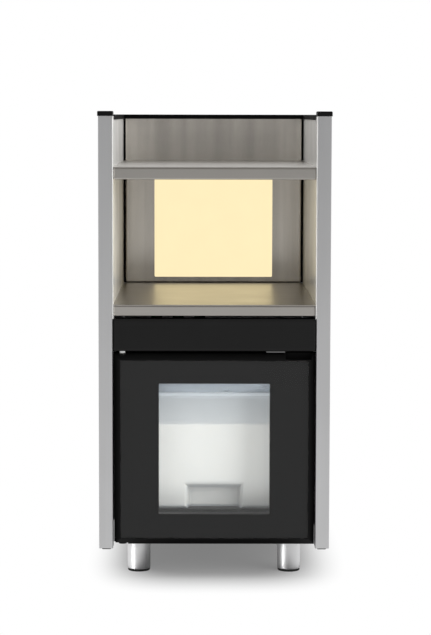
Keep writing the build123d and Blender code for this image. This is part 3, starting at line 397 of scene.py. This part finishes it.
def make_metals():
    """Sheet, extrusions and small metal pieces."""
    aluminium = (0.72, 0.72, 0.725)
    return {
        "post": brushed_metal("post_aluminium", aluminium, 0.38, "z", contrast=0.04),
        "foot": brushed_metal("foot_aluminium", (0.88, 0.88, 0.885), 0.42, "round", contrast=0.03),
        "extrusion": brushed_metal("extruded_aluminium", aluminium, 0.4, "z"),
        "wall": brushed_metal(
            "satin_stainless", (0.86, 0.855, 0.84), 0.2, "z", contrast=0.04, metallic=0.25,
        ),
        "back_wall": brushed_metal(
            "polished_back", (0.67, 0.63, 0.57), 0.22, "z", contrast=0.14, metallic=0.9,
        ),
        "shelf": brushed_metal("brushed_shelf", (0.56, 0.535, 0.50), 0.32, "x", contrast=0.03),
        "outer": brushed_metal("brushed_case", (0.66, 0.65, 0.64), 0.34, "z"),
        "zinc": galvanised("zinc_coated", (0.52, 0.53, 0.54)),
        "supply": galvanised("supply_case", (0.58, 0.59, 0.60)),
        "bright": brushed_metal("bright_steel", grey(0.78), 0.2, "y", contrast=0.04),
        # the catch plate's steel is painted darker: painted shade from the gap under the fascia
        "catch": brushed_metal("shade_darkened_steel", grey(0.30), 0.35, "x", contrast=0.04),
        "brass": brushed_metal("brass", (0.80, 0.63, 0.30), 0.24, "y"),
    }


def make_blacks():
    """Black plastic and rubber."""
    return {
        "cap": moulded("black_caps", grey(0.004), 0.45, Specular_IOR_Level=0.1),
        "trim": moulded("black_trim", grey(0.003), 0.7, Specular_IOR_Level=0.03),
        "fascia": moulded("black_fascia", grey(0.006), 0.34, Specular_IOR_Level=0.2),
        "frame": moulded("black_frame", grey(0.002), 0.55, Specular_IOR_Level=0.18),
        "bezel": moulded("black_bezel", grey(0.010), 0.8, Specular_IOR_Level=0.2),
        "gasket": moulded("gasket_rubber", (0.03, 0.03, 0.031), 0.6),
        "pad": moulded("pad_rubber", grey(0.012), 0.7),
    }


def make_compartment_materials():
    """Glass, liner and lamp of the milk compartment, and what stands in it."""
    return {
        "glass": clear_glass("door_glass", (0.98, 0.99, 0.985)),
        # the liner's floor is painted near-black: painted shade under the container
        "liner": moulded_with_floor_shade(
            "grey_liner", (0.41, 0.50, 0.60), grey(0.008), liner_shade_top, 0.9, Specular_IOR_Level=0.15,
        ),
        "lamp": lamp_plastic("lamp", (0.85, 0.87, 0.88), 0.4, light=(1.0, 0.98, 0.95), strength=50.0),
        "container": moulded(
            "clear_polypropylene", (0.85, 0.89, 0.93), 0.35, unevenness=0.01, Alpha=0.32,
        ),
        "lid": moulded("lid_polypropylene", (0.70, 0.75, 0.80), 0.15, Alpha=0.6),
        "milk": moulded(
            "milk", (0.95, 0.87, 0.76), 0.3, unevenness=0.01,
            Subsurface_Weight=0.2, Subsurface_Radius=(1.0, 0.9, 0.8), Subsurface_Scale=0.004,
        ),
    }


def make_inner_materials():
    """The back light, and the pieces inside the case."""
    off_white = (0.85, 0.85, 0.83)
    return {
        "opal": opal_light(
            "opal_light", (1.0, 0.855, 0.521), 0.45, Specular_IOR_Level=0.2, Emission_Strength=1.0,
        ),
        "enamel": moulded("white_enamel", off_white, 0.35),
        "board": moulded("circuit_board", (0.02, 0.16, 0.06), 0.4),
        "heater": moulded("heater_silicone", (0.45, 0.10, 0.04), 0.6),
        "foam": foamed("foam", (0.82, 0.74, 0.52), 0.9),
        "ceramic": moulded("ceramic", off_white, 0.6),
        "nylon": moulded("nylon", (0.78, 0.77, 0.72), 0.45),
    }


NODE_MATERIALS = {
    "post": ["left_front_post", "right_front_post", "rear_posts"],
    "foot": ["feet"],
    "extrusion": ["heat_sink", "cold_plate"],
    "wall": ["left_inner_panel", "right_inner_panel"],
    "back_wall": ["back_panel"],
    "shelf": [
        "lower_shelf_plate", "lower_shelf_frame",
        "upper_shelf_plate", "upper_shelf_frame", "upper_shelf_cover",
    ],
    "outer": ["left_outer_panel", "right_outer_panel", "rear_cover"],
    "zinc": ["rear_rails", "base_pan", "front_crossbar", "cooler_casing"],
    "supply": ["power_supply"],
    "bright": ["rear_cover_screws", "foot_studs", "shelf_rivets", "hinge_pins", "upper_hinge_plate"],
    "catch": ["catch_plate"],
    "brass": ["inlet_pins"],
    "cap": ["post_caps", "post_plugs"],
    "trim": ["wall_trims", "rear_trim"],
    "fascia": ["fascia", "fan_housing", "fan_rotor", "power_inlet", "switch_housing", "switch_rocker"],
    "frame": ["door_frame"],
    # the lower hinge plate is black plastic, which also stands in for painted shade at the door's lower
    # corner
    "bezel": ["front_bezel", "milk_line_duct", "door_liner", "lower_hinge_plate"],
    "gasket": ["door_gasket"],
    "pad": ["foot_pads"],
    "glass": ["door_glass", "door_inner_pane"],
    "liner": ["compartment_liner"],
    "lamp": ["interior_lamp"],
    "container": ["milk_container"],
    "lid": ["container_lid"],
    "opal": ["light_diffuser"],
    "enamel": ["light_tray"],
    "board": ["light_board", "control_board"],
    "heater": ["heater_mats"],
    "foam": ["insulation"],
    "ceramic": ["cooling_module"],
    "nylon": ["hinge_bushes"],
}


def dress(materials):
    """Gives each CAD node its material."""
    for name, listed in NODE_MATERIALS.items():
        for node in listed:
            nodes[node].material_slots[0].material = materials[name]


# Milk

QUARTER_TURN = 90.0
CORNER_STEPS = 8


def rounded_loop(half_x, low_y, high_y, corner, z):
    """Points round a rectangle with rounded corners, at one height."""
    right = half_x - corner
    front = low_y + corner
    back = high_y - corner
    points = []
    for turns, (x, y) in enumerate([(right, back), (-right, back), (-right, front), (right, front)]):
        for step in range(CORNER_STEPS + 1):
            angle = math.radians(QUARTER_TURN * (turns + step / CORNER_STEPS))
            points.append((x + corner * math.cos(angle), y + corner * math.sin(angle), z))
    return points


def skin(mesh, loops):
    """Faces between loops of points, each above the one before, and over both ends."""
    for lower, upper in zip(loops, loops[1:]):
        for index in range(len(lower)):
            after = (index + 1) % len(lower)
            mesh.faces.new((lower[index], lower[after], upper[after], upper[index]))
    mesh.faces.new(list(reversed(loops[0])))
    mesh.faces.new(loops[-1])


def milk_mesh():
    """A closed body of milk that fills the container's inside up to its level."""
    low, high = container_low, container_high
    rim_half = high.x - CONTAINER_RIM
    rim_front = low.y + CONTAINER_RIM
    rim_back = high.y - CONTAINER_RIM
    corner = CONTAINER_CORNER - CONTAINER_WALL
    base = low.z + milk_wall
    rows = [
        (base, MILK_ROUND),
        (base + MILK_ROUND, 0.0),
        (milk_level, 0.0),
        (milk_level - MENISCUS, MENISCUS),
    ]
    mesh = bmesh.new()
    loops = []
    for z, inset in rows:
        shrink = milk_wall + inset + CONTAINER_DRAFT * (high.z - z) / (high.z - low.z)
        points = rounded_loop(rim_half - shrink, rim_front + shrink, rim_back - shrink, corner, z)
        loops.append([mesh.verts.new(point) for point in points])
    skin(mesh, loops)
    return mesh_data("milk", mesh)


def prism(name, far, near):
    """A body between two upright rectangles, each given by its place along Y, half width and top."""
    bottom = container_low.z - GRIP_HEIGHT
    mesh = bmesh.new()
    ends = []
    for y, half, top in (far, near):
        corners = [(-half, bottom), (half, bottom), (half, top), (-half, top)]
        ends.append([mesh.verts.new((x, y, z)) for x, z in corners])
    skin(mesh, ends)
    return add_object(name, mesh_data(name, mesh))


def grip_cutters():
    """The room that the container's hand grip and its wider mouth take from the milk."""
    front = container_low.y + CONTAINER_RIM
    inner_front = front + milk_wall
    half = GRIP_WIDTH / 2 + milk_wall
    top = container_low.z + GRIP_HEIGHT + milk_wall
    mouth = CONTAINER_DRAFT + GRIP_MOUTH
    return [
        prism("grip", (inner_front + GRIP_DEPTH, half, top), (front - GRIP_DEPTH, half, top)),
        prism("mouth", (inner_front + mouth, half, top), (inner_front, half + mouth, top + mouth)),
    ]


def make_milk(made):
    """The milk in the container, with the hand grip cut out of it."""
    milk = add_object("milk", milk_mesh())
    cutters = grip_cutters()
    for cutter in cutters:
        cut = milk.modifiers.new(cutter.name, "BOOLEAN")
        cut.operation = "DIFFERENCE"
        cut.object = cutter
    evaluated = milk.evaluated_get(bpy.context.evaluated_depsgraph_get())
    milk.data = bpy.data.meshes.new_from_object(evaluated)
    milk.modifiers.clear()
    for cutter in cutters:
        bpy.data.objects.remove(cutter)
    milk.data.materials.clear()
    milk.data.materials.append(made)
    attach(milk, "cabinet")


# Floor: its shade fades to plain white with distance, which is measured on a stretched and shifted plan; near
# the object a share of painted white glow lies over the real shadow, and mirrors show a painted shadow there
FLOOR_SIZE = 12.0
FLOOR_GREY = 0.3
FLOOR_ROUGHNESS = 0.9
FLOOR_STRETCH = (1.0, 0.58, 1.0)
FLOOR_SHIFT = (-0.004, 0.0, 0.0)
FADE_DISTANCES = (0.10, 0.19)
WHITE_SHARES = (0.19, 1.0)
MIRRORED_SHADOW_DISTANCES = (0.135, 0.155)
MIRRORED_SHADOW_STRENGTHS = (0.03, 0.75)


def square_distance(tree, place):
    """Distance from the middle, with rounded squares as its lines of equal distance."""
    squares = tree.nodes.new("ShaderNodeVectorMath")
    squares.operation = "MULTIPLY"
    length = tree.nodes.new("ShaderNodeVectorMath")
    length.operation = "LENGTH"
    root = tree.nodes.new("ShaderNodeMath")
    root.operation = "SQRT"
    tree.links.new(place, squares.inputs[0])
    tree.links.new(place, squares.inputs[1])
    tree.links.new(squares.outputs["Vector"], length.inputs[0])
    tree.links.new(length.outputs["Value"], root.inputs[0])
    return root.outputs["Value"]


def floor_material():
    """Matt grey that takes the shadow near the object under a share of painted white glow, and plain white
    further off, with a painted shadow near the object in mirrors.
    """
    made = material("floor", grey(FLOOR_GREY), FLOOR_ROUGHNESS, Specular_IOR_Level=0.0)
    tree = made.node_tree
    rays = ray_kinds(tree)
    distance = square_distance(tree, stretched_place(tree, FLOOR_STRETCH, FLOOR_SHIFT))
    faded = map_range(tree, distance, FADE_DISTANCES, WHITE_SHARES, smooth=True)
    # in mirrors the floor near the object is painted dark: a painted shadow
    mirrored = map_range(tree, distance, MIRRORED_SHADOW_DISTANCES, MIRRORED_SHADOW_STRENGTHS)
    white = tree.nodes.new("ShaderNodeEmission")
    strength = mixed(tree, rays["Is Camera Ray"], mirrored, 1.0)
    tree.links.new(strength, white.inputs["Strength"])
    white_share = arithmetic(tree, "MAXIMUM", faded, rays["Is Glossy Ray"])
    mix_surfaces(made, white_share, white.outputs["Emission"])
    return made


def make_floor():
    """A plain floor under the object."""
    mesh = bmesh.new()
    bmesh.ops.create_grid(mesh, x_segments=1, y_segments=1, size=FLOOR_SIZE / 2)
    floor = add_object("floor", mesh_data("floor", mesh))
    floor.data.materials.append(floor_material())


# World: its light, and what mirrors show of it from the front, dim, to the back, white
WORLD_LIGHT = 0.6
FRONT_TO_BACK = (-0.6, 0.9)
REFLECTIONS = (0.30, 1.0)


def make_world():
    """White to the eye, dimmer towards the front in reflections, and a soft fill for the light."""
    world = bpy.data.worlds.new("studio")
    bpy.context.scene.world = world
    world.use_nodes = True
    tree = world.node_tree
    rays = ray_kinds(tree)
    split = tree.nodes.new("ShaderNodeSeparateXYZ")
    direction = tree.nodes.new("ShaderNodeTexCoord").outputs["Generated"]
    tree.links.new(direction, split.inputs["Vector"])
    reflected = map_range(tree, split.outputs["Y"], FRONT_TO_BACK, REFLECTIONS, smooth=True)
    mirrored = arithmetic(tree, "MAXIMUM", rays["Is Glossy Ray"], rays["Is Transmission Ray"])
    lighting = mixed(tree, mirrored, WORLD_LIGHT, reflected)
    strength = mixed(tree, rays["Is Camera Ray"], lighting, 1.0)
    background = tree.nodes["Background"]
    background.inputs["Color"].default_value = rgba(WHITE)
    tree.links.new(strength, background.inputs["Strength"])


# Lights: places and sizes in metres, power in watts, spread in degrees
SIGHT_RAYS = ("camera", "glossy", "transmission")
WIDE_SPREAD = 180.0
NARROW_SPREAD = 3.0


def softbox(name, place, target, size, power, unseen_by=SIGHT_RAYS, spread=WIDE_SPREAD):
    """A rectangular lamp that looks at a point, with the kinds of ray that don't see it."""
    data = bpy.data.lights.new(name, "AREA")
    data.shape = "RECTANGLE"
    data.size, data.size_y = size
    data.energy = power
    data.spread = math.radians(spread)
    lamp = add_object(name, data)
    lamp.location = place
    lamp.rotation_mode = "QUATERNION"
    lamp.rotation_quaternion = (Vector(target) - Vector(place)).to_track_quat("-Z", "Y")
    for kind in unseen_by:
        setattr(lamp, f"visible_{kind}", False)


def make_studio_lights():
    """Soft light from above and from both sides, and a low beam along the feet."""
    softbox("top_light", place=(0.0, 0.4, 2.4), target=(0.0, 0.0, 0.0), size=(3.5, 3.5), power=66.0)
    softbox("left_light", place=(-1.4, -2.2, 0.55), target=(0.0, 0.0, 0.25), size=(1.0, 1.0), power=5.0)
    softbox("right_light", place=(1.9, -1.6, 0.9), target=(0.0, 0.0, 0.4), size=(1.6, 1.6), power=60.0)
    softbox(
        "foot_light", place=(-0.9, -0.75, 0.02), target=(0.0, -0.17, 0.02), size=(0.2, 0.03), power=0.007,
        unseen_by=("camera",), spread=NARROW_SPREAD,
    )


def make_compartment_lights():
    """Soft light inside the compartment: one lamp over the lid, and one at the window that faces the milk."""
    softbox(
        "lid_light", place=(0.0, -0.11, 0.2835), target=(0.0, -0.11, 0.0), size=(0.16, 0.09), power=0.046,
    )
    softbox(
        "window_light", place=(0.0, -0.189, 0.199), target=(0.0, 0.0, 0.199), size=(0.2, 0.17), power=0.040,
    )


make_camera()
materials = {
    **make_metals(),
    **make_blacks(),
    **make_compartment_materials(),
    **make_inner_materials(),
}
dress(materials)
make_milk(materials["milk"])
make_floor()
make_world()
make_studio_lights()
make_compartment_lights()
bpy.context.scene.view_settings.view_transform = "Standard"
